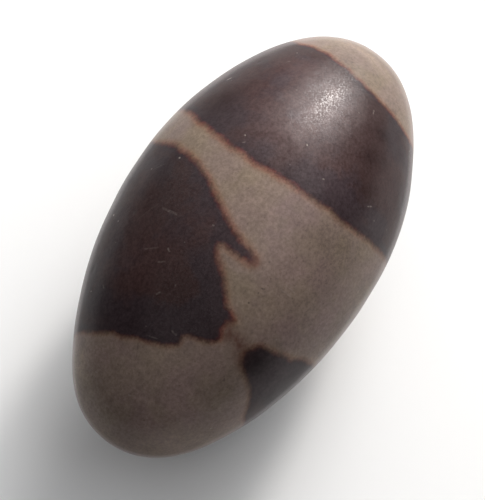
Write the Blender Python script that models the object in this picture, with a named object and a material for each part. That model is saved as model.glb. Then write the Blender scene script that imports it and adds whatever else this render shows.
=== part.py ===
"""Shiva lingam stone: one river-worn, egg-shaped stone lying on a small flat spot.

Metres, +Z up. +X runs along the stone to its fuller end. The stone rests on z = 0, with the
origin under the middle of its bounding box.
"""

from math import acos, asin, cos, degrees, exp, radians, sin

import bmesh
import bpy
from mathutils import Vector

# Driving dimensions, in metres, before the ends are worn back and the flat is ground
HALF_LENGTH = 0.0531
HALF_WIDTH = 0.0289
HALF_HEIGHT = 0.0279
FLAT_DEPTH = 0.0006  # what the resting spot takes off the underside

# Girth along the stone, as shares of the half width and half height that are reached at the tips
TAPER = 0.061  # the half toward +X is the fuller one
TAPER_FADE = -0.055  # the tips themselves are nearly alike
SLIMMING = -0.068  # both ends are slimmer than an ellipsoid's

# Wear that runs all round: degrees along from the middle toward +X, rise in metres, spread in degrees
RINGS = (
    (61.0, 0.00115, 14.0),  # full shoulder before the +X tip
    (90.0, -0.0005, 14.0),  # +X tip, worn back
    (-90.0, -0.0010, 14.0),  # -X tip, worn back
)

# Uneven places: degrees along, degrees round from the top toward -Y, rise in metres, spread in degrees
SPOTS = (
    (26.0, 102.0, 0.0006, 14.0),  # swelling on the -Y flank
    (-43.0, -78.0, -0.00045, 14.0),  # worn place on the +Y flank
    (8.0, 15.0, 0.0003, 22.0),  # crown
    (-38.0, 35.0, -0.0004, 20.0),  # worn place before the crown
    (48.0, -30.0, -0.0003, 18.0),  # worn place behind the crown
    (-15.0, -140.0, 0.0004, 20.0),  # swelling low on the +Y side
    (40.0, 150.0, -0.0005, 20.0),  # worn place underneath
)

SUBDIVISIONS = 5  # 5120 triangles, which keeps the facets under 0.03 mm deep
STONE_COLOUR = (0.105, 0.066, 0.058, 1.0)
STONE_ROUGHNESS = 0.42


def clear_scene():
    """Removes whatever the file starts with."""
    for obj in list(bpy.data.objects):
        bpy.data.objects.remove(obj, do_unlink=True)


def bell(distance, spread):
    """A smooth hump: 1 in its middle, and 0.6 one spread away."""
    return exp(-0.5 * (distance / spread) ** 2)


def degrees_between(first, second):
    return degrees(acos(max(-1.0, min(1.0, first.dot(second)))))


def direction(along, around):
    """The unit vector this many degrees along from the middle and round from the top toward -Y."""
    along, around = radians(along), radians(around)
    return Vector((sin(along), -cos(along) * sin(around), cos(along) * cos(around)))


def worn_point(unit):
    """The point of the stone's surface in the direction of a point on the unit sphere."""
    girth = 1.0 + TAPER * unit.x + SLIMMING * unit.x**2 + TAPER_FADE * unit.x**3
    point = Vector(
        (HALF_LENGTH * unit.x, HALF_WIDTH * unit.y * girth, HALF_HEIGHT * unit.z * girth)
    )
    along = degrees(asin(max(-1.0, min(1.0, unit.x))))
    rise = sum(height * bell(along - place, spread) for place, height, spread in RINGS)
    for spot_along, spot_around, height, spread in SPOTS:
        away = degrees_between(unit, direction(spot_along, spot_around))
        rise += height * bell(away, spread)
    return point + point.normalized() * rise


def grind_flat(bm):
    """Cuts the resting spot off the underside and closes it with one flat face."""
    height = min(vert.co.z for vert in bm.verts) + FLAT_DEPTH
    cut = bmesh.ops.bisect_plane(
        bm,
        geom=bm.verts[:] + bm.edges[:] + bm.faces[:],
        plane_co=(0.0, 0.0, height),
        plane_no=(0.0, 0.0, -1.0),
        clear_outer=True,
    )
    rim = [item for item in cut["geom_cut"] if isinstance(item, bmesh.types.BMEdge)]
    flat = bmesh.ops.contextual_create(bm, geom=rim)["faces"][0]
    bmesh.ops.recalc_face_normals(bm, faces=bm.faces[:])
    return flat


def stone_material():
    material = bpy.data.materials.new("river stone")
    material.use_nodes = True
    shader = material.node_tree.nodes["Principled BSDF"]
    shader.inputs["Base Color"].default_value = STONE_COLOUR
    shader.inputs["Roughness"].default_value = STONE_ROUGHNESS
    shader.inputs["Metallic"].default_value = 0.0
    return material


def make_stone():
    """Wears a round ball down to the stone's form and sets it on its flat."""
    bm = bmesh.new()
    bmesh.ops.create_icosphere(bm, subdivisions=SUBDIVISIONS, radius=1.0)
    for vert in bm.verts:
        vert.co = worn_point(vert.co.normalized())
    flat = grind_flat(bm)
    for face in bm.faces:
        face.smooth = face != flat
    for edge in flat.edges:
        edge.smooth = False
    low = Vector(min(vert.co[axis] for vert in bm.verts) for axis in range(3))
    high = Vector(max(vert.co[axis] for vert in bm.verts) for axis in range(3))
    mesh = bpy.data.meshes.new("stone")
    bm.to_mesh(mesh)
    bm.free()
    mesh.materials.append(stone_material())
    stone = bpy.data.objects.new("stone", mesh)
    middle = (low + high) / 2
    stone.location = (-middle.x, -middle.y, -low.z)
    bpy.context.scene.collection.objects.link(stone)


clear_scene()
make_stone()
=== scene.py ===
from math import cos, radians, sin

import bpy
import numpy as np
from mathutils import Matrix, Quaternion, Vector
from mathutils.bvhtree import BVHTree


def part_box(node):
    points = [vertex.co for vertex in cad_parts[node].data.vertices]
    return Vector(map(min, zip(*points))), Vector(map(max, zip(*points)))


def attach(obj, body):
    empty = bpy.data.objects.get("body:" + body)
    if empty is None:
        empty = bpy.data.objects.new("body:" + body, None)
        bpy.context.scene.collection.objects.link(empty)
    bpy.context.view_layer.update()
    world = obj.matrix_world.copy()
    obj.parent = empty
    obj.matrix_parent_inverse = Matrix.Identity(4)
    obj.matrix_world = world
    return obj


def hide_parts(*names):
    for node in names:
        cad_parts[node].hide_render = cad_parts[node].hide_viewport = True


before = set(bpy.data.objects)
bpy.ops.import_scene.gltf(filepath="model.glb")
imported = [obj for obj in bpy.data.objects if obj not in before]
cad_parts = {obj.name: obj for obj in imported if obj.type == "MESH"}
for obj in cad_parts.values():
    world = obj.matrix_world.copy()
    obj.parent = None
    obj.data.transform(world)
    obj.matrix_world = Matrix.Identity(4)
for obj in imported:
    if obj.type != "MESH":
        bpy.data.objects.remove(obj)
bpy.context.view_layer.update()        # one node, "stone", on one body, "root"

mm = 0.001


# The view: the photograph's frame, and where its camera stands round the stone

photo = {
    "width": 485,
    "height": 500,
    "focal": 1005.0,          # pixels
    "azimuth": -58.54,        # degrees round the stone
    "elevation": 68.0,        # degrees above the floor
    "distance": 216.1,        # mm from the point looked at
    "lookAt": (-3.19, -0.79, 28.0),
    "sensor": 36.0,           # mm, along the picture's long side
    "clip": (0.01, 20.0),     # metres
}


def cameraAxes(view):
    # back points from the stone to the camera, right and up span the picture
    a, e = radians(view["azimuth"]), radians(view["elevation"])
    back = Vector((sin(a) * cos(e), -cos(a) * cos(e), sin(e)))
    right = Vector((cos(a), sin(a), 0.0))
    return right, back.cross(right), back


def makeCamera(view):
    right, up, back = cameraAxes(view)
    data = bpy.data.cameras.new("camera")
    data.sensor_width = view["sensor"]
    data.lens = view["sensor"] * view["focal"] / view["height"]
    data.clip_start, data.clip_end = view["clip"]
    camera = bpy.data.objects.new("camera", data)
    camera.location = (Vector(view["lookAt"]) + back * view["distance"]) * mm
    camera.rotation_euler = back.to_track_quat("Z", "Y").to_euler()
    bpy.context.scene.collection.objects.link(camera)
    bpy.context.scene.camera = camera


makeCamera(photo)
print("camera ready")


# The stone's form, all in mm until the mesh is written

form = {
    "halfLength": 53.1,       # middle to tip, before the tips are worn back
    "halfWidth": 28.9,
    "halfHeight": 27.9,
    "flatDepth": 0.6,         # what the resting spot takes off the underside
    "flatRim": 0.12,          # how softly the flat runs into the round
    "taper": 0.061,           # the half toward +X is the fuller one
    "taperFade": -0.055,      # the tips themselves are nearly alike
    "slimming": -0.068,       # both ends are slimmer than an ellipsoid's
    "rings": [                # (degrees along, rise, spread in degrees), all round the stone
        (61.0, 1.15, 14.0),
        (90.0, -0.5, 14.0),
        (-90.0, -1.0, 14.0),
    ],
    "spots": [                # (degrees along, degrees round from the top toward -Y, rise, spread)
        (26.0, 102.0, 0.6, 14.0),
        (-43.0, -78.0, -0.45, 14.0),
        (8.0, 15.0, 0.3, 22.0),
        (-38.0, 35.0, -0.4, 20.0),
        (48.0, -30.0, -0.3, 18.0),
        (-15.0, -140.0, 0.4, 20.0),
        (40.0, 150.0, -0.5, 20.0),
    ],
    "waves": 14,              # faint swells left by tumbling
    "waveHeight": 0.012,
    "waveLengths": (9.0, 24.0),
    "pits": 46,               # small chips and pits, scattered
    "pitDepths": (0.03, 0.10),
    "pitRadii": (0.45, 1.1),
    "pitReach": 0.97,         # how near the tips they come, as a share of the way there
    "alongSteps": 300,
    "aroundSteps": 320,
    "seed": 11,
}


def directions(along, around):
    # unit vectors: x = sin(along), y = -cos(along) sin(around), z = cos(along) cos(around)
    x, y, z = np.sin(along), -np.cos(along) * np.sin(around), np.cos(along) * np.cos(around)
    return np.stack([x, y, z], -1)


def bell(distance, spread):
    # exp(-(distance / spread)^2 / 2)
    return np.exp(-0.5 * (distance / spread) ** 2)


def wornSurface(along, around, piece):
    # an ellipsoid whose girth is 1 + taper x + slimming x^2 + taperFade x^3 of the unit x,
    # then pushed out along each point's own direction by the sum of the rings' and spots' bells
    unit = directions(along, around)
    x = unit[..., 0]
    girth = 1 + piece["taper"] * x + piece["slimming"] * x**2 + piece["taperFade"] * x**3
    point = unit * [piece["halfLength"], piece["halfWidth"], piece["halfHeight"]]
    point[..., 1:] *= girth[..., None]
    rise = np.zeros_like(x)
    for place, height, spread in piece["rings"]:
        rise += height * bell(np.degrees(along) - place, spread)
    for placeAlong, placeAround, height, spread in piece["spots"]:
        centre = directions(radians(placeAlong), radians(placeAround))
        away = np.degrees(np.arccos(np.clip(unit @ centre, -1, 1)))
        rise += height * bell(away, spread)
    reach = np.linalg.norm(point, axis=-1)
    return point * (1 + rise / reach)[..., None]


def tumbledRelief(point, piece):
    # swells: the sum of cosines of random direction and length
    # pits: minus depth exp(-(distance / radius)^2), at random places
    rng = np.random.default_rng(piece["seed"])
    height = np.zeros(point.shape[:-1])
    for _ in range(piece["waves"]):
        heading = rng.normal(size=3)
        turns = 2 * np.pi / rng.uniform(*piece["waveLengths"])
        height += piece["waveHeight"] * np.cos(
            point @ (heading / np.linalg.norm(heading)) * turns + rng.uniform(0, 2 * np.pi)
        )
    for _ in range(piece["pits"]):
        along = np.arcsin(rng.uniform(-piece["pitReach"], piece["pitReach"]))
        around = rng.uniform(0, 2 * np.pi)
        centre = wornSurface(along, around, piece)
        depth, radius = rng.uniform(*piece["pitDepths"]), rng.uniform(*piece["pitRadii"])
        height -= depth * np.exp(-((np.linalg.norm(point - centre, axis=-1) / radius) ** 2))
    return height


def restOnFlat(point, piece):
    # z becomes the softer of z and the flat's height: exact below it, a parabola across the rim
    rim = piece["flatRim"]
    over = point[..., 2] - (point[..., 2].min() + piece["flatDepth"])
    lifted = np.where(over < -rim, 0.0, np.where(over > rim, over, (over + rim) ** 2 / (4 * rim)))
    point[..., 2] = lifted
    return point


def gridFaces(rows, columns):
    # quads between neighbouring rows, wrapped round, and a fan of triangles to each tip
    row, column = np.meshgrid(np.arange(rows - 1), np.arange(columns), indexing="ij")
    here, beside = row * columns + column, row * columns + (column + 1) % columns
    quads = np.stack([here, beside, beside + columns, here + columns], -1).reshape(-1, 4)
    firstTip, lastTip = rows * columns, rows * columns + 1
    ring = np.arange(columns)
    following = (ring + 1) % columns
    last = (rows - 1) * columns
    fans = np.concatenate([
        np.stack([np.full(columns, firstTip), following, ring], -1),
        np.stack([np.full(columns, lastTip), last + ring, last + following], -1),
    ])
    return quads.tolist() + fans.tolist()


def stonePoints(piece):
    rows, columns = piece["alongSteps"] - 1, piece["aroundSteps"]
    along = radians(-90) + np.pi * np.arange(1, rows + 1) / piece["alongSteps"]
    around = 2 * np.pi * np.arange(columns) / columns
    along, around = np.meshgrid(along, around, indexing="ij")
    along = np.append(along.ravel(), [-np.pi / 2, np.pi / 2])
    around = np.append(around.ravel(), [0.0, 0.0])
    point = wornSurface(along, around, piece)
    outward = point / np.linalg.norm(point, axis=-1)[:, None]
    point = point + outward * tumbledRelief(point, piece)[:, None]
    return restOnFlat(point, piece), gridFaces(rows, columns)


def placeInBox(point):
    # the middle of the form comes over the middle of the solid, and the flat onto the floor
    low, high = (np.array(corner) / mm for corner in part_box("stone"))
    middle = (point.min(0) + point.max(0)) / 2
    shift = (low + high) / 2 - middle
    shift[2] = low[2] - point[:, 2].min()
    return point + shift


points, faces = stonePoints(form)
points = placeInBox(points)
axisHeight = points[:, 2].max() / 2
surface = BVHTree.FromPolygons(points.tolist(), faces)
print("stone form:", len(points), "points, size", np.ptp(points, axis=0).round(2), "mm")


# The markings: the dark bands' edges, read off the photograph where they are seen and carried
# on round the back where they aren't

markings = {
    # each edge is a loop of stretches; seen points are pixels, hidden ones (mm along, degrees round)
    "capEdge": [
        {"rust": 0.9, "soft": 0.85,
         "seen": [(294, 42.4), (300.5, 44.7), (309.5, 46.1), (318.4, 50.1), (327.3, 54.1),
                  (335.2, 60.2), (342.5, 65.8), (348.8, 70), (351.6, 74.4), (355.6, 78),
                  (360.6, 81.6), (364.4, 86.2), (373.8, 95.2), (380.9, 103.2), (387.1, 109.5),
                  (393.4, 116.6), (399.6, 125.5), (405, 133.6), (409.6, 142)]},
        {"rust": 0.5, "soft": 0.75,
         "hidden": [(36.4, 95), (37.3, 112), (39.0, 128), (39.6, 146), (41.2, 165), (40.6, 186),
                    (41.8, 208), (42.3, 226), (41.7, 247), (42.6, 268), (41.8, 290), (41.3, 305)]},
    ],
    "bandEdge": [
        {"rust": 1, "soft": 1.0,
         "seen": [(188, 110.8), (191.5, 112.2), (195.9, 116.7), (200.4, 122.4), (207.4, 125.6),
                  (213.8, 131.4), (220.2, 135.8), (226.5, 142.2), (232.9, 146.7), (239.3, 149.8),
                  (245.7, 154.3), (255.6, 163), (266.5, 168.2), (277, 174.6), (288.5, 181.2)]},
        {"rust": 0.5, "soft": 0.95,
         "seen": [(300, 189.5), (310, 196), (318.5, 202), (324, 206), (330, 208.8), (338.3, 217.3),
                  (346.6, 223.9), (354.9, 229.7), (363.2, 235.5), (369.8, 240.5), (376.4, 247.1),
                  (382.2, 252.9)]},
        {"rust": 0.7, "soft": 0.85,
         "hidden": [(10.6, 92), (11.9, 106), (13.0, 122), (15.4, 136), (16.2, 154), (18.4, 172),
                    (17.9, 190), (18.6, 208), (17.0, 226), (17.4, 244), (15.3, 262), (15.0, 280),
                    (13.4, 294)]},
    ],
    "patchEdge": [
        {"rust": 0.9, "soft": 1.05,
         "seen": [(156, 143.6), (161.5, 143.5), (168.5, 144.7), (175.5, 146), (180.6, 151.1),
                  (188.3, 154.9), (192.1, 159.4), (197.2, 163.9), (201, 170.3), (205.5, 176),
                  (209.3, 182.4), (211.2, 186.8), (213.8, 193.2), (220.8, 206), (225.4, 215.6),
                  (230.1, 225), (233.4, 230.5), (237.3, 235.9), (240.2, 241), (244.2, 245.2),
                  (248, 249), (250.8, 252.4)]},
        {"rust": 1, "soft": 1,
         "seen": [(253, 255.4), (254.6, 258.6), (254, 261.6), (251.2, 262.6), (248, 261),
                  (244.9, 258.8)]},
        {"rust": 0.7, "soft": 0.95,
         "seen": [(240.3, 256.4), (235.6, 252.6), (230.8, 249.4), (226.6, 246.2), (222.4, 243.4),
                  (218.6, 243.2), (216.2, 246.8), (215.6, 252.6), (216.4, 259.7), (219, 265),
                  (220.4, 269.9), (221.9, 275), (223, 280.1), (223, 285.7), (224, 290.8),
                  (225, 295.4), (225.5, 301.5), (225.9, 306.6)]},
        {"rust": 0.8, "soft": 0.75,
         "seen": [(229.5, 311.2), (231, 315.3), (233.4, 320.6), (229.6, 321.4), (225.2, 321.6),
                  (223.9, 325.5), (220.8, 328.6), (220.3, 333.7), (219.4, 338)]},
        {"rust": 0.4, "soft": 0.75,
         "seen": [(215.7, 340.3), (208.6, 340.3), (203, 339.3), (197.3, 337.8), (191.7, 335.7),
                  (188.7, 333.7), (184.5, 333.7), (180.8, 336), (179.7, 340.8), (176.1, 343.9),
                  (172, 344.4), (161.8, 343.4), (151.6, 340.8), (141.4, 338.8), (135.3, 336.2),
                  (128.2, 335.7), (119, 334.2), (114.9, 331.6), (104.7, 331.1), (90.4, 331.6),
                  (81.5, 331)]},
        {"rust": 0.45, "soft": 0.7,
         "hidden": [(-38.6, 290), (-40.2, 272), (-39.6, 254), (-41.8, 236), (-41.0, 216),
                    (-39.2, 198), (-40.4, 180), (-38.4, 162), (-38.6, 144), (-36.4, 126),
                    (-36.6, 110), (-35.2, 96)]},
        {"rust": 0.4, "soft": 0.9,
         "seen": [(245.4, 415.6), (248.9, 406.3), (250.4, 398.6), (250.4, 391.6), (249.6, 384.6),
                  (247.5, 378.2), (244.7, 370.5), (242.6, 362.1), (244, 355.1), (247.6, 350.6)]},
        {"rust": 0.5, "soft": 0.9,
         "seen": [(253.2, 349.5), (260.2, 347.4), (266.5, 350.2), (273.5, 353.7), (280.5, 355.8),
                  (286.1, 357.9), (289.6, 361.4), (295.3, 360.7), (301.6, 360.7), (307.9, 363.5)]},
        {"rust": 0.7, "soft": 0.8,
         "hidden": [(-17.4, 92), (-16.2, 106), (-13.0, 122), (-12.2, 138), (-8.6, 154), (-7.6, 170),
                    (-4.4, 186), (-3.6, 202), (-0.4, 218), (0.4, 234), (2.8, 250), (2.6, 268),
                    (4.2, 284), (3.4, 296)]},
    ],
    "sampleStep": 0.3,        # mm between the points that the edges are measured from
    "cut": 36.5,              # degrees round, where the patch's loop has its gap
}

# Soft stains, tones, and painted light and shade, as (place, radius in mm, amount), where a place is a
# pixel of the photograph or, on the hidden side, ("back", mm along, degrees round)
tones = {
    "slate": [  # blue-black in the dark bands, where they aren't maroon
        ((100, 312), 5.0, 0.7), ((130, 325), 4.5, 1.0), ((160, 330), 4.5, 1.0), ((195, 322), 4.5, 1.0),
        ((213, 296), 3.0, 0.8), ((207, 270), 2.8, 0.8), ((222, 235), 3.0, 0.7), ((207, 186), 3.0, 0.6),
        ((198, 262), 3.0, 0.6), ((262, 150), 3.5, 0.5), ((300, 172), 3.6, 0.8), ((340, 200), 5.0, 0.9),
        ((378, 226), 4.0, 0.9), ((262, 372), 6.0, 1.2), ((285, 385), 6.0, 1.0), ((160, 160), 4.0, 0.5),
        ((128, 262), 3.5, 0.5), ((175, 262), 5.5, -0.5), ((172, 292), 5.0, -0.6),
        ((150, 185), 5.0, -0.3), ((372, 160), 5.0, -0.7), ((375, 185), 4.0, -0.5),
        ((225, 95), 4.5, -0.5), (("back", -38, 150), 7.0, 0.8), (("back", -30, 250), 8.0, 0.7),
        (("back", 20, 200), 7.0, 0.8), (("back", 26, 120), 8.0, 0.6), (("back", -6, 230), 6.0, 0.6),
    ],
    "light": [  # painted light and shade, with some of the stone's own tone: lighter or darker than the rest, and shinier or duller with it
        # the cap: darker over it, and a painted rim highlight along its upper edge
        ((372, 72), 9.0, -0.17), ((398, 118), 4.0, -0.08), ((345, 62), 2.5, -0.2),
        ((340, 42), 1.6, 0.2), ((353, 46), 1.6, 0.22), ((364, 52), 1.8, 0.25), ((374, 61), 1.8, 0.22),
        ((384, 73), 1.8, 0.18),
        # the band below it: painted sheen and painted shade round the highlight, lighter and darker
        # places toward its two ends, and painted shade along its right-hand edge
        ((352, 84), 4.5, -0.22), ((313, 84), 4.0, -0.22), ((222, 100), 4.0, -0.12),
        ((258, 72), 5.0, -0.12), ((376, 132), 3.0, -0.14), ((336, 184), 4.5, 0.25),
        ((300, 60), 3.0, 0.12), ((222, 98), 5.0, -0.16), ((370, 158), 2.2, -0.35),
        ((383, 162), 2.4, -0.25), ((368, 190), 3.0, -0.25), ((385, 136), 2.0, -0.25),
        ((398, 150), 3.5, -0.15), ((278, 76), 7.0, 0.34), ((280, 122), 6.0, 0.12),
        ((301, 71), 5.0, 0.36), ((238, 74), 3.5, 0.12), ((262, 104), 6.5, 0.2), ((270, 139), 4.5, 0.24),
        ((322, 164), 6.5, 0.15), ((321, 95), 2.5, -0.15), ((389, 120), 4.0, -0.1),
        ((207, 92), 2.0, 0.2), ((193, 103), 2.0, 0.12), ((222, 80), 2.0, 0.1),
        # the tan between the band and the patch: painted shade toward its lower right-hand edge, and a
        # few lighter places
        ((302, 325), 4.5, -0.16), ((322, 292), 4.0, -0.1), ((280, 342), 3.5, -0.14),
        ((355, 255), 3.5, -0.16), ((245, 250), 2.5, 0.2), ((258, 195), 5.0, 0.10),
        ((270, 240), 5.0, 0.09), ((302, 216), 3.5, -0.06), ((335, 245), 6.0, -0.18),
        ((330, 285), 5.0, -0.08), ((335, 335), 3.0, -0.1), ((346, 320), 3.0, -0.1),
        # the patch
        ((165, 200), 5.5, -0.22), ((172, 165), 4.0, -0.14), ((97, 300), 4.5, -0.16),
        ((212, 222), 3.0, 0.15), ((128, 264), 3.5, 0.14), ((190, 288), 5.0, -0.12),
        ((112, 211), 2.0, -0.12), ((175, 285), 5.0, -0.12), ((140, 325), 5.0, -0.18),
        ((200, 322), 4.0, -0.18),
        # the wedge
        ((258, 364), 3.0, -0.2), ((272, 370), 3.0, -0.1), ((280, 380), 2.5, 0.12),
        ((252, 362), 4.0, -0.25), ((262, 380), 3.0, -0.08), ((270, 392), 3.0, 0.08),
        ((290, 370), 3.0, 0.08), ((310, 364), 2.0, 0.2), ((301, 374), 2.0, 0.15),
        ((250, 415), 3.0, 0.12),
        # the lower end: painted shade over it, and painted rim reflections along its left-hand edge
        ((225, 400), 5.0, -0.18), ((128, 432), 6.0, -0.2), ((205, 425), 4.5, -0.1),
        ((92, 382), 4.0, -0.12), ((112, 412), 5.0, -0.12), ((225, 385), 4.5, -0.10),
        ((150, 395), 5.0, 0.06), ((77, 345), 2.0, 0.12), ((78, 370), 2.0, 0.12),
        ((180, 425), 4.0, -0.08), ((83, 362), 3.5, 0.12), ((110, 430), 3.5, 0.06),
    ],
    "tint": [  # the tan's tint: pink above 0, yellow below
        ((200, 140), 5.0, -0.9), ((235, 185), 5.0, -0.7), ((240, 280), 4.0, -0.35),
        ((238, 312), 3.5, -0.25), ((252, 330), 3.5, 0.4), ((290, 215), 5.0, 0.6),
        ((310, 270), 5.0, 0.3), ((290, 325), 3.5, 0.9), ((325, 320), 4.0, 0.7), ((345, 250), 5.0, -0.3),
        ((110, 355), 4.0, 0.4), ((155, 392), 3.0, -0.5), ((175, 405), 6.0, 0.8), ((120, 400), 4.0, 0.5),
        # the yellow at (84, 365) and (110, 430) is a painted reflection of the shaded floor along the
        # lower end's edge
        ((215, 400), 4.0, -0.2), ((380, 80), 5.0, -0.8), ((330, 48), 4.0, -0.4), ((84, 365), 4.0, -0.5),
        ((110, 430), 4.0, -0.4), (("back", 0, 160), 9.0, 0.5), (("back", -46, 200), 8.0, -0.5),
        (("back", 8, 250), 8.0, -0.5),
    ],
    "rustStain": [  # rusty stains: between the two dark corners, at the tongue's tip, in the notch
        ((225, 333), 1.4, 0.3), ((230, 335), 1.5, 0.3), ((235, 338), 1.5, 0.3), ((239, 341), 1.5, 0.3),
        ((243, 345), 1.5, 0.3), ((241, 351), 1.5, 0.3), ((239, 357), 1.4, 0.3), ((240, 364), 1.2, 0.25),
        ((231, 322.5), 0.8, 0.5), ((228, 328), 0.8, 0.35), ((256, 262), 0.9, 0.6),
        ((258, 264), 1.2, 0.15), ((218, 256), 0.8, 0.25), ((219, 263), 0.9, 0.3),
        ((221.5, 272), 0.8, 0.22), ((223.5, 282), 0.8, 0.16),
    ],
}


# Small marks, as (from pixel, to pixel, radius in mm, strength): chips and rubbed lines that catch
# the light above 0, dark grains and hairlines below
marks = [
    ((227, 80), (231, 78), 0.22, 0.64), ((179.3, 157.6), (179.6, 158), 0.26, 0.72),
    ((151.5, 168.8), (151.8, 169), 0.22, 0.33), ((113.5, 215), (113.8, 215.3), 0.26, 0.72),
    ((118, 221), (118.2, 221.4), 0.24, 0.39), ((245, 135), (245, 135.4), 0.22, 0.64),
    ((242.5, 142.6), (245.6, 141.8), 0.2, 0.25), ((297, 52.8), (297.4, 53), 0.2, 0.33),
    ((287, 62), (291, 61), 0.26, 0.17), ((296.5, 90), (296.9, 90), 0.2, 0.28),
    ((307, 144), (307.2, 145.4), 0.2, 0.6), ((323, 179), (324.4, 179.2), 0.18, 0.55),
    ((374, 110.6), (373.4, 114), 0.18, 0.28), ((359, 112.4), (359, 113), 0.18, 0.25),
    ((367.6, 206.6), (371.4, 206.4), 0.2, 0.28), ((374, 220.6), (374.2, 221), 0.22, 0.33),
    ((163, 208), (169, 211), 0.34, 0.11), ((169, 211), (176, 214), 0.38, 0.11),
    ((168, 248.6), (169.2, 251), 0.24, 0.22), ((144, 249), (158, 247.6), 0.2, 0.08),
    ((158, 262), (165, 261.6), 0.22, 0.12), ((156.5, 294.4), (160.6, 291.6), 0.22, 0.16),
    ((175.5, 285), (175.6, 285.6), 0.2, 0.19), ((213.4, 225), (213.6, 225.2), 0.24, 0.33),
    ((103, 285), (104, 288), 0.2, 0.14), ((172, 331), (176, 335), 0.22, 0.16),
    ((147, 335.4), (157, 338.6), 0.18, 0.12), ((153, 169.6), (166, 163.4), 0.18, 0.07),
    ((138, 219), (158, 204), 0.24, 0.045), ((280, 289), (291, 297), 0.17, 0.17),
    ((286, 285), (294, 292.4), 0.15, 0.17), ((289, 283), (297, 289.6), 0.14, 0.12),
    ((96, 372), (96.4, 372.2), 0.3, 0.28), ((129, 395), (130, 395.4), 0.24, 0.28),
    ((276.4, 339.4), (276.6, 339.8), 0.26, 0.28), ((166, 441), (166.3, 441.3), 0.26, 0.22),
    ((204, 229), (214, 228), 0.26, -0.34), ((214, 228), (221, 226), 0.3, -0.43),
    ((221, 226), (228, 226), 0.26, -0.37), ((200, 249), (206, 244.6), 0.22, -0.28),
    ((206, 244.6), (214, 242), 0.24, -0.31), ((224, 377), (224.4, 381), 0.24, -0.37),
    ((262, 289), (264.4, 289.4), 0.24, -0.7), ((258.2, 293), (258.4, 293.2), 0.24, -0.6),
    ((248.6, 302.8), (248.8, 303), 0.24, -0.6), ((269.4, 261.6), (269.6, 262), 0.26, -0.6),
    ((228, 256), (228.2, 256.2), 0.2, -0.31), ((138, 344), (138, 348), 0.2, -0.31),
    ((138, 348), (136.6, 357), 0.16, -0.25), ((166.4, 349), (166.6, 349.6), 0.28, -0.31),
    ((202.4, 343.4), (202.6, 344), 0.24, -0.31), ((138.6, 372), (139.4, 375), 0.4, -0.19),
    ((148, 371), (148.4, 374), 0.32, -0.19), ((138, 362.6), (138.2, 363), 0.22, -0.28),
    ((118, 364), (118.2, 364.4), 0.24, -0.25), ((101, 362), (101.2, 362.2), 0.24, -0.22),
    ((104, 384), (104.4, 384), 0.22, -0.25), ((352, 62), (352.3, 62.2), 0.26, -0.25),
    ((367.6, 92), (368, 92.2), 0.26, -0.28), ((378, 93.4), (378.3, 93.6), 0.24, -0.28),
    ((229.5, 168), (229.7, 168.2), 0.2, -0.25),
]


def seenPoint(pixel, view):
    # the first point of the stone on the line from the camera through that pixel
    right, up, back = cameraAxes(view)
    eye = Vector(view["lookAt"]) + back * view["distance"]
    aside = (pixel[0] - view["width"] / 2) * right - (pixel[1] - view["height"] / 2) * up
    hit = surface.ray_cast(eye, (aside - back * view["focal"]).normalized())[0]
    if hit is None:
        raise ValueError(f"pixel {pixel} misses the stone")
    return np.array(hit)


def aroundPoint(along, around):
    # where a line out of the long axis, this far along it and turned this far from the top, meets
    # the surface
    turn = radians(around)
    return np.array(surface.ray_cast((along, 0.0, axisHeight), (0.0, -sin(turn), cos(turn)))[0])


def unrolled(point):
    # mm along the axis, and degrees round it from the top toward -Y, from 0 to 360
    return point[..., 0], np.degrees(np.arctan2(-point[..., 1], point[..., 2] - axisHeight)) % 360


def softSpots(point, spots, view):
    # the sum of amount * exp(-(distance to the place / radius)^2)
    total = np.zeros(len(point))
    for place, radius, amount in spots:
        centre = aroundPoint(*place[1:]) if place[0] == "back" else seenPoint(place, view)
        total += amount * np.exp(-(((point - centre) ** 2).sum(1)) / radius**2)
    return total


def markLayers(point, marks, view, apart=2.5, reach=1.3, core=0.6):
    # marks nearer each other than apart go to different layers; a layer keeps, at every point, the way
    # from the nearest mark's line in units of that mark's radius, and its strength, 0 beyond reach
    layers = []
    for start, end, radius, strength in marks:
        start, end = seenPoint(start, view), seenPoint(end, view)
        leg = end - start
        share = np.clip((point - start) @ leg / (leg @ leg), 0, 1)
        way = point - start - share[:, None] * leg
        away = np.linalg.norm(way, axis=1)
        for layer in layers:
            if away[layer["away"] < core].min(initial=np.inf) > apart:
                break
        else:
            layer = {
                "away": np.full(len(point), np.inf),
                "way": np.zeros_like(point),
                "strength": np.zeros(len(point)),
            }
            layers.append(layer)
        nearer = away < layer["away"]
        layer["way"][nearer] = way[nearer] / radius
        layer["strength"][nearer] = np.where(away[nearer] < reach, strength, 0.0)
        layer["away"][nearer] = away[nearer]
    return layers


def smoothLoop(way, step):
    # a closed smooth curve through the waypoints, worked out between each pair from its neighbours too,
    # by blending straight lines whose knots are spaced by the root of each distance
    loops = []
    p0, p1, p2, p3 = (np.roll(way, shift, axis=0) for shift in (1, 0, -1, -2))
    for a, b, c, d in zip(p0, p1, p2, p3):
        gaps = np.linalg.norm([b - a, c - b, d - c], axis=1)
        k1, k2, k3 = np.cumsum(np.sqrt(np.maximum(gaps, 1e-6)))
        count = max(2, int(np.linalg.norm(c - b) / step))
        t = np.linspace(k1, k2, count, endpoint=False)[:, None]
        ab = a + (b - a) * t / k1
        bc = b + (c - b) * (t - k1) / (k2 - k1)
        cd = c + (d - c) * (t - k2) / (k3 - k2)
        abc, bcd = ab + (bc - ab) * t / k2, bc + (cd - bc) * (t - k1) / (k3 - k1)
        loops.append(abc + (bcd - abc) * (t - k1) / (k2 - k1))
    return np.concatenate(loops), np.repeat(np.arange(len(way)), [len(part) for part in loops])


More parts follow.
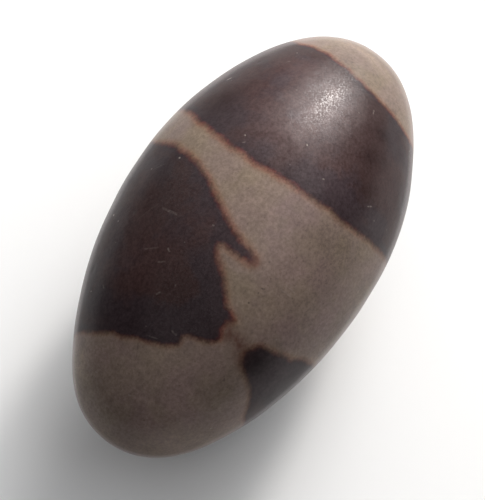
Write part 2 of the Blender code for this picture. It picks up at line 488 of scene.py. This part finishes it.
def traceEdge(runs, view, step):
    # waypoints on the surface, then the smooth loop through them put back onto the surface
    way, rust, soft = [], [], []
    for run in runs:
        found = [seenPoint(pixel, view) for pixel in run.get("seen", [])]
        found += [aroundPoint(*place) for place in run.get("hidden", [])]
        way += found
        rust += [run["rust"]] * len(found)
        soft += [run["soft"]] * len(found)
    loop, owner = smoothLoop(np.array(way), step)
    along, around = unrolled(loop)
    onStone = np.array([aroundPoint(*place) for place in zip(along, around)])
    return {"points": onStone, "rust": np.array(rust)[owner], "soft": np.array(soft)[owner]}


def closestOnEdges(point, edges, chunk=6000):
    # the distance to the nearer of the two stretches that meet at the nearest sample, taken a chunk of
    # points at a time, and that sample's rust and softness
    start = np.concatenate([edge["points"] for edge in edges])
    end = np.concatenate([np.roll(edge["points"], -1, axis=0) for edge in edges])
    rust = np.concatenate([edge["rust"] for edge in edges])
    soft = np.concatenate([edge["soft"] for edge in edges])
    before = np.concatenate([np.roll(edge["points"], 1, axis=0) for edge in edges])
    distance, nearest = [], []
    for first in range(0, len(point), chunk):
        part = point[first:first + chunk]
        square = (part**2).sum(1)[:, None] + (start**2).sum(1)[None] - 2 * part @ start.T
        index = square.argmin(1)
        best = np.full(len(part), np.inf)
        for tip in (end[index], before[index]):
            base, leg = start[index], tip - start[index]
            share = ((part - base) * leg).sum(1) / np.maximum((leg**2).sum(1), 1e-9)
            foot = base + leg * np.clip(share, 0, 1)[:, None]
            best = np.minimum(best, np.linalg.norm(part - foot, axis=1))
        distance.append(best)
        nearest.append(index)
    nearest = np.concatenate(nearest)
    return np.concatenate(distance), rust[nearest], soft[nearest]


def ringAlong(edge, around):
    # how far along a ring lies at each angle round the stone
    along, angle = unrolled(edge["points"])
    order = np.argsort(angle)
    return np.interp(around, angle[order], along[order], period=360)


def insideLoop(along, around, edge, cut):
    # even-odd rule on the unrolled surface, opened at the angle cut, where the loop has its gap
    loopAlong, loopAround = unrolled(edge["points"])
    loopAround, around = (loopAround - cut) % 360, (around - cut) % 360
    inside = np.zeros(len(along), bool)
    nextAlong, nextAround = np.roll(loopAlong, -1), np.roll(loopAround, -1)
    for a0, r0, a1, r1 in zip(loopAlong, loopAround, nextAlong, nextAround):
        if r0 == r1:
            continue
        crosses = (r0 > around) != (r1 > around)
        inside ^= crosses & (along < a0 + (a1 - a0) * (around - r0) / (r1 - r0))
    return inside


capEdge, bandEdge, patchEdge = (
    traceEdge(markings[name], photo, markings["sampleStep"])
    for name in ("capEdge", "bandEdge", "patchEdge")
)
alongMm, aroundDeg = unrolled(points)
inBand = (ringAlong(bandEdge, aroundDeg) < alongMm) & (alongMm < ringAlong(capEdge, aroundDeg))
inPatch = insideLoop(alongMm, aroundDeg, patchEdge, markings["cut"])
edgeDistance, edgeRust, edgeSoft = closestOnEdges(points, [capEdge, bandEdge, patchEdge])
darkDepth = np.where(inBand | inPatch, edgeDistance, -edgeDistance)
toneFields = {name: softSpots(points, spots, photo) for name, spots in tones.items()}
layers = markLayers(points, marks, photo)
print("markings: edges of", [len(edge["points"]) for edge in (capEdge, bandEdge, patchEdge)], "samples")


# The fine surface as one mesh that stands for the solid


def makeMesh(name, point, face, fields):
    mesh = bpy.data.meshes.new(name)
    mesh.from_pydata((point * mm).tolist(), [], face)
    for field, value in fields.items():
        kind, slot = ("FLOAT", "value") if value.ndim == 1 else ("FLOAT_VECTOR", "vector")
        data = mesh.attributes.new(field, kind, "POINT").data
        data.foreach_set(slot, value.astype(np.float32).ravel())
    mesh.shade_smooth()
    mesh.validate()
    piece = bpy.data.objects.new(name, mesh)
    bpy.context.scene.collection.objects.link(piece)
    return piece


stonePiece = makeMesh("riverStone", points, faces, {
    "darkDepth": darkDepth,   # mm into a dark band, below 0 in the tan
    "edgeRust": edgeRust,     # how rusty the nearest edge is
    "edgeSoft": edgeSoft,     # mm that the nearest edge takes to turn, each way
    **toneFields,
    **{f"markWay{n}": layer["way"] for n, layer in enumerate(layers)},
    **{f"markStrength{n}": layer["strength"] for n, layer in enumerate(layers)},
})
print("stone mesh ready, with", len(layers), "layers of marks")


# The finish: colours are linear, patterns are as fine as perMm says

finish = {
    "tan": (0.186, 0.1365, 0.1115),
    "tanPink": (0.189, 0.1325, 0.1185),
    "tanYellow": (0.187, 0.1410, 0.1035),
    "tanFleck": (0.085, 0.060, 0.044),
    "maroon": (0.0335, 0.0167, 0.0160),
    "slate": (0.0255, 0.0162, 0.0190),
    "rust": (0.088, 0.037, 0.028),
    "halo": (1.0, 0.84, 0.74),      # what the tan is multiplied by beside a rusty edge
    "chip": (0.34, 0.29, 0.26),
    "hairline": (0.016, 0.011, 0.010),
    "perMm": {
        "wander": 0.5,
        "fray": 2.0,
        "rustPatch": 0.55,
        "drift": 0.14,
        "grain": 1.5,
        "grit": 3.4,
        "mottle": 0.45,
        "cloud": 0.13,
        "streak": 0.9,
        "markBreak": 2.6,
        "leather": 0.4,
        "sparkle": 3.4,
        "pore": 4.5,
    },
    "wander": 0.5,                  # mm, from end to end, that the edges bend slowly
    "fray": 0.8,                    # mm, from end to end, of their fine teeth
    "edgeShift": 0.42,              # mm that the green and blue turn dark outside the traced line
    "blueLead": 0.13,               # how much sooner blue turns than green, as a share of the softness
    "rustLag": 0.34,                # mm later that the red follows, where an edge is fully rusty
    "rustPatches": (0.45, 1.3),     # least and most of that, from patch to patch
    "haloShare": 0.55,
    "haloDepth": (-2.4, -0.6),      # mm into the dark, where the halo begins and is full
    "grainInTan": 0.20,             # how much lighter and darker the grain makes each ground
    "grainInDark": 0.22,
    "mottle": 0.08,
    "grit": 0.35,
    "grains": {"perMm": 0.6, "radius": 0.16, "keep": 0.3, "strength": 0.5},
    "clouds": (-0.1, 0.75),         # least and most slate in the clouds
    "rimSlate": 0.4,                # slate just inside the edges
    "rimDepth": (2.4, 0.5),         # mm into the dark, where that fades out and is full
    "stainStreaks": (0.6, 1.15),
    "specks": [                     # pale specks, large and few, then small and faint
        {"perMm": 0.22, "radius": 0.05, "keep": 0.3, "strength": 0.5},
        {"perMm": 0.42, "radius": 0.08, "keep": 0.3, "strength": 0.16},
    ],
    "markFade": (1.28, 0.1),        # radii from a mark's line, where it begins and is full
    "markBreaks": (0.35, 1.1),
    "roughness": (0.35, 0.46),
    "specular": 0.25,               # facing the eye; the worn polish shines less at a slant
    "specularAslant": 0.07,
    "specularRim": 0.85,            # added at the very edge, where all stones shine
    "slant": (0.2, 0.65),           # from facing the eye, 0, to edge on, 1
    "rimSlant": (0.72, 0.95),
    "specularTint": (1.0, 0.80, 0.79, 1.0),
    "leather": 0.2,                 # how uneven the shine is, finely and slowly
    "coat": (0.0, 0.37),            # share of the surface that shines sharply, from grain to grain
    "coatRoughness": 0.19,
    "poreDepth": 0.03,              # mm
    "poreStrength": 0.5,
}


def addNode(tree, kind, inputs=None, **settings):
    node = tree.nodes.new(kind)
    for name, value in settings.items():
        setattr(node, name, value)
    for name, value in (inputs or {}).items():
        if isinstance(value, bpy.types.NodeSocket):
            tree.links.new(value, node.inputs[name])
        else:
            node.inputs[name].default_value = value
    return node


def calc(tree, operation, first, second=0.0, third=0.0, clamp=False):
    inputs = {0: first, 1: second, 2: third}
    return addNode(tree, "ShaderNodeMath", inputs, operation=operation, use_clamp=clamp).outputs[0]


def field(tree, name):
    return addNode(tree, "ShaderNodeAttribute", attribute_name=name).outputs["Fac"]


def noise(tree, where, scale, detail=2.0, roughness=0.5):
    inputs = {"Vector": where, "Scale": scale, "Detail": detail, "Roughness": roughness}
    return addNode(tree, "ShaderNodeTexNoise", inputs).outputs["Fac"]


def ramp(tree, value, low, high, toLow=0.0, toHigh=1.0):
    # a soft step from toLow to toHigh while the value goes from low to high
    inputs = {"Value": value, "From Min": low, "From Max": high, "To Min": toLow, "To Max": toHigh}
    return addNode(tree, "ShaderNodeMapRange", inputs, interpolation_type="SMOOTHSTEP").outputs["Result"]


def swing(tree, value, spread, amount):
    # from 1 - amount to 1 + amount, while the noise goes from 0.5 - spread to 0.5 + spread
    return ramp(tree, value, 0.5 - spread, 0.5 + spread, 1 - amount, 1 + amount)


def blend(tree, share, first, second, mode="MIX"):
    first, second = ((*c, 1.0) if isinstance(c, tuple) else c for c in (first, second))
    inputs = {"Factor": share, 6: first, 7: second}
    return addNode(tree, "ShaderNodeMix", inputs, data_type="RGBA", blend_type=mode).outputs[2]


def shade(tree, colour, value):
    # the colour multiplied by a plain value
    plain = addNode(tree, "ShaderNodeCombineColor", {0: value, 1: value, 2: value}).outputs[0]
    return blend(tree, 1.0, colour, plain, "MULTIPLY")


def blendChannels(tree, shares, first, second):
    # red, green and blue are each blended by their own share
    parts = {}
    for n, share in enumerate(shares):
        both = blend(tree, share, first, second)
        parts[n] = addNode(tree, "ShaderNodeSeparateColor", {"Color": both}).outputs[n]
    return addNode(tree, "ShaderNodeCombineColor", parts).outputs[0]


def dots(tree, where, look):
    # round dots in some of the cells of a Voronoi pattern; the radius is in cells
    inputs = {"Vector": where, "Scale": look["perMm"], "Randomness": 1.0}
    cells = addNode(tree, "ShaderNodeTexVoronoi", inputs)
    near = ramp(tree, cells.outputs["Distance"], look["radius"], look["radius"] * 0.3)
    lot = addNode(tree, "ShaderNodeSeparateColor", {"Color": cells.outputs["Color"]}).outputs[0]
    kept = calc(tree, "MULTIPLY", near, calc(tree, "LESS_THAN", lot, look["keep"]))
    return calc(tree, "MULTIPLY", kept, look["strength"])


def edgeShares(tree, where, look):
    # the depth into the dark in mm, wandering and frayed, and how dark red, green and blue are there;
    # red turns last, by the lag, which leaves the rusty rim
    perMm = look["perMm"]
    slow = noise(tree, where, perMm["wander"])
    slow = calc(tree, "MULTIPLY_ADD", slow, look["wander"], -look["wander"] / 2)
    fine = noise(tree, where, perMm["fray"], 3.0, 0.6)
    fine = calc(tree, "MULTIPLY_ADD", fine, look["fray"], -look["fray"] / 2)
    depth = calc(tree, "ADD", field(tree, "darkDepth"), calc(tree, "ADD", slow, fine))
    soft = field(tree, "edgeSoft")
    green = calc(tree, "DIVIDE", calc(tree, "ADD", depth, look["edgeShift"]), soft)
    patches = ramp(tree, noise(tree, where, perMm["rustPatch"]), 0.3, 0.7, *look["rustPatches"])
    lag = calc(tree, "MULTIPLY", field(tree, "edgeRust"), patches)
    lag = calc(tree, "MULTIPLY", lag, look["rustLag"])
    red = calc(tree, "SUBTRACT", green, calc(tree, "DIVIDE", lag, soft))
    blue = calc(tree, "ADD", green, look["blueLead"])
    return depth, [ramp(tree, share, -1.0, 1.0) for share in (red, green, blue)]


def tanColour(tree, where, grain, depth, look):
    # drifts of pink and yellow, shaded by the grain and a slow mottle, then the halo beside the rusty
    # edges, grit, and scattered dark grains
    perMm = look["perMm"]
    drift = ramp(tree, noise(tree, where, perMm["drift"], 3.0), 0.35, 0.65, -0.5, 0.5)
    drift = calc(tree, "ADD", field(tree, "tint"), drift)
    colour = blend(tree, ramp(tree, drift, 0.0, 1.0), look["tan"], look["tanPink"])
    colour = blend(tree, ramp(tree, drift, 0.0, -1.0), colour, look["tanYellow"])
    mottle = swing(tree, noise(tree, where, perMm["mottle"], 4.0, 0.6), 0.2, look["mottle"])
    mottle = calc(tree, "MULTIPLY", swing(tree, grain, 0.25, look["grainInTan"]), mottle)
    colour = shade(tree, colour, mottle)
    halo = ramp(tree, depth, *look["haloDepth"], 0.0, look["haloShare"])
    halo = calc(tree, "MULTIPLY", halo, field(tree, "edgeRust"))
    colour = blend(tree, halo, colour, look["halo"], "MULTIPLY")
    grit = ramp(tree, noise(tree, where, perMm["grit"]), 0.58, 0.72, 0.0, look["grit"])
    colour = blend(tree, grit, colour, look["tanFleck"])
    return blend(tree, dots(tree, where, look["grains"]), colour, look["tanFleck"])


def darkColour(tree, where, grain, depth, look):
    # maroon with clouds of slate, and more slate just inside the edges, shaded by the grain
    clouds = noise(tree, where, look["perMm"]["cloud"], 5.0, 0.6)
    clouds = ramp(tree, clouds, 0.36, 0.66, *look["clouds"])
    rim = ramp(tree, depth, *look["rimDepth"], 0.0, look["rimSlate"])
    slate = calc(tree, "ADD", calc(tree, "ADD", clouds, rim), field(tree, "slate"))
    colour = blend(tree, ramp(tree, slate, 0.0, 1.0), look["maroon"], look["slate"])
    return shade(tree, colour, swing(tree, grain, 0.25, look["grainInDark"]))


def marksOver(tree, where, count, look):
    # each layer's strength, fading with the distance from the mark's line, summed and broken up
    total = 0.0
    for n in range(count):
        way = addNode(tree, "ShaderNodeAttribute", attribute_name=f"markWay{n}").outputs["Vector"]
        away = addNode(tree, "ShaderNodeVectorMath", {0: way}, operation="LENGTH").outputs["Value"]
        near = ramp(tree, away, *look["markFade"])
        near = calc(tree, "MULTIPLY", near, field(tree, f"markStrength{n}"))
        total = calc(tree, "ADD", near, total)
    breaks = noise(tree, where, look["perMm"]["markBreak"])
    return calc(tree, "MULTIPLY", total, ramp(tree, breaks, 0.35, 0.6, *look["markBreaks"]))


def stainAndMark(tree, where, colour, light, layerCount, look):
    # the rusty stains, the painted light and shade of the lighter and darker places, hairlines, and
    # chips and specks over all
    streaks = noise(tree, where, look["perMm"]["streak"], 3.0)
    streaks = ramp(tree, streaks, 0.3, 0.65, *look["stainStreaks"])
    stain = calc(tree, "MULTIPLY", field(tree, "rustStain"), streaks, clamp=True)
    colour = shade(tree, blend(tree, stain, colour, look["rust"]), light)
    mark = marksOver(tree, where, layerCount, look)
    hairlines = calc(tree, "MULTIPLY", mark, -1.0, clamp=True)
    colour = blend(tree, hairlines, colour, look["hairline"])
    chips = mark
    for specks in look["specks"]:
        chips = calc(tree, "MAXIMUM", chips, dots(tree, where, specks), clamp=True)
    return blend(tree, chips, colour, look["chip"])


def polish(tree, shader, where, grain, light, look):
    # a satin shine, uneven like leather, that fades at a slant and comes back at the very edge, under a
    # thin sharp one that changes from grain to grain and sparkles under the light
    perMm = look["perMm"]
    aslant = addNode(tree, "ShaderNodeLayerWeight", {"Blend": 0.5}).outputs["Facing"]
    shine = ramp(tree, aslant, *look["slant"], look["specular"], look["specularAslant"])
    shine = calc(tree, "ADD", shine, ramp(tree, aslant, *look["rimSlant"], 0.0, look["specularRim"]))
    slow = swing(tree, noise(tree, where, perMm["leather"], 4.0, 0.6), 0.2, look["leather"])
    fine = ramp(tree, grain, 0.3, 0.7, -look["leather"], look["leather"])
    shine = calc(tree, "MULTIPLY", shine, calc(tree, "ADD", fine, slow))
    # the painted light and shade also makes the shine stronger or weaker
    shine = calc(tree, "MULTIPLY", shine, light)
    shader.inputs["Specular IOR Level"].default_value = look["specular"]
    tree.links.new(shine, shader.inputs["Specular IOR Level"])
    shader.inputs["Specular Tint"].default_value = look["specularTint"]
    tree.links.new(ramp(tree, grain, 0.3, 0.7, *look["roughness"]), shader.inputs["Roughness"])
    coat = ramp(tree, noise(tree, where, perMm["sparkle"], 2.0, 0.6), 0.46, 0.66, *look["coat"])
    tree.links.new(coat, shader.inputs["Coat Weight"])
    shader.inputs["Coat Roughness"].default_value = look["coatRoughness"]
    pores = {
        "Height": noise(tree, where, perMm["pore"]),
        "Strength": look["poreStrength"],
        "Distance": look["poreDepth"] * mm,
    }
    tree.links.new(addNode(tree, "ShaderNodeBump", pores).outputs[0], shader.inputs["Normal"])


def stoneMaterial(look, layerCount):
    material = bpy.data.materials.new("river stone")
    material.use_nodes = True
    tree = material.node_tree
    shader = tree.nodes["Principled BSDF"]
    place = addNode(tree, "ShaderNodeTexCoord").outputs["Object"]
    inMm = addNode(tree, "ShaderNodeMapping", {"Vector": place, "Scale": (1 / mm, 1 / mm, 1 / mm)})
    where = inMm.outputs[0]
    grain = noise(tree, where, look["perMm"]["grain"], 4.0, 0.65)
    # painted light and shade: the lighter and darker places, as a factor on the colour and the shine
    light = calc(tree, "ADD", field(tree, "light"), 1.0)
    depth, shares = edgeShares(tree, where, look)
    tan = tanColour(tree, where, grain, depth, look)
    dark = darkColour(tree, where, grain, depth, look)
    colour = blendChannels(tree, shares, tan, dark)
    colour = stainAndMark(tree, where, colour, light, layerCount, look)
    tree.links.new(colour, shader.inputs["Base Color"])
    polish(tree, shader, where, grain, light, look)
    return material


stonePiece.data.materials.append(stoneMaterial(finish, len(layers)))
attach(stonePiece, "root")
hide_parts("stone")
print("finish ready")


# The floor and the light

stage = {
    "floorRadius": 0.72,
    "floorSides": 128,
    "floorColour": (0.85, 0.85, 0.85, 1),
    "floorRoughness": 0.8,
    "floorSpecular": 0.2,
    "skyColour": (1.0, 1.0, 1.0, 1),
    "skyStrength": 0.02,      # as it lights the stone
    "skySeen": 0.72,          # as it shows above the floor's far edge
}

# Soft lights round the stone: degrees round from +X toward +Y, degrees up, metres off, metres wide and
# high, degrees rolled about the line to the stone, and watts. The glow is three discs, one behind
# another, so that its edge is soft.
lights = {
    "key": {"round": -1.1, "up": 28.3, "off": 0.97, "size": (0.26, 0.16), "roll": 70.0, "power": 5.0,
            "colour": (1.0, 0.96, 0.91)},
    "glowInner": {"round": 3.2, "up": 27.5, "off": 0.98, "size": (0.46, 0.46), "power": 3.0,
                  "colour": (1.0, 0.99, 0.98)},
    "glowMiddle": {"round": 3.2, "up": 27.5, "off": 0.99, "size": (0.72, 0.72), "power": 4.4,
                   "colour": (1.0, 0.99, 0.98)},
    "glowOuter": {"round": 3.2, "up": 27.5, "off": 1.0, "size": (1.0, 1.0), "power": 6.6,
                  "colour": (1.0, 0.99, 0.98)},
    "top": {"round": 0.0, "up": 90.0, "off": 1.0, "size": (1.8, 1.8), "power": 3.8,
            "colour": (0.99, 0.99, 1.0)},
    "rightFill": {"round": 63.0, "up": 30.0, "off": 1.0, "size": (0.9, 0.9), "power": 1.8,
                  "colour": (0.96, 0.98, 1.0)},
    "leftFill": {"round": -57.0, "up": 55.0, "off": 1.0, "size": (0.6, 0.6), "power": 1.5,
                 "colour": (0.96, 0.98, 1.0)},
}


def makeFloor(look):
    # a disc: radius times (cos, sin) of equal turns
    turn = 2 * np.pi * np.arange(look["floorSides"]) / look["floorSides"]
    rim = look["floorRadius"] * np.stack([np.cos(turn), np.sin(turn), np.zeros_like(turn)], -1)
    mesh = bpy.data.meshes.new("floor")
    mesh.from_pydata(rim.tolist(), [], [list(range(look["floorSides"]))])
    material = bpy.data.materials.new("floor")
    material.use_nodes = True
    shader = material.node_tree.nodes["Principled BSDF"]
    shader.inputs["Base Color"].default_value = look["floorColour"]
    shader.inputs["Roughness"].default_value = look["floorRoughness"]
    shader.inputs["Specular IOR Level"].default_value = look["floorSpecular"]
    mesh.materials.append(material)
    floor = bpy.data.objects.new("floor", mesh)
    bpy.context.scene.collection.objects.link(floor)


def makeLight(name, look):
    data = bpy.data.lights.new(name, "AREA")
    data.shape = "ELLIPSE"
    data.size, data.size_y = look["size"]
    data.energy = look["power"]
    data.color = look["colour"]
    light = bpy.data.objects.new(name, data)
    turn, up = radians(look["round"]), radians(look["up"])
    toward = Vector((cos(turn) * cos(up), sin(turn) * cos(up), sin(up)))
    light.location = toward * look["off"] + Vector((0, 0, axisHeight * mm))
    roll = Quaternion((0, 0, 1), radians(look.get("roll", 0.0)))
    light.rotation_euler = (toward.to_track_quat("Z", "Y") @ roll).to_euler()
    bpy.context.scene.collection.objects.link(light)


def makeSky(look):
    # a faint even light on the stone, which shows paler where the camera sees it
    world = bpy.data.worlds.new("sky")
    world.use_nodes = True
    background = world.node_tree.nodes["Background"]
    background.inputs["Color"].default_value = look["skyColour"]
    seen = addNode(world.node_tree, "ShaderNodeLightPath").outputs["Is Camera Ray"]
    strength = ramp(world.node_tree, seen, 0.0, 1.0, look["skyStrength"], look["skySeen"])
    world.node_tree.links.new(strength, background.inputs["Strength"])
    bpy.context.scene.world = world


makeFloor(stage)
for lightName, lightLook in lights.items():
    makeLight(lightName, lightLook)
makeSky(stage)
bpy.context.scene.view_settings.view_transform = "Standard"
bpy.context.scene.view_settings.look = "None"
print("stage ready")
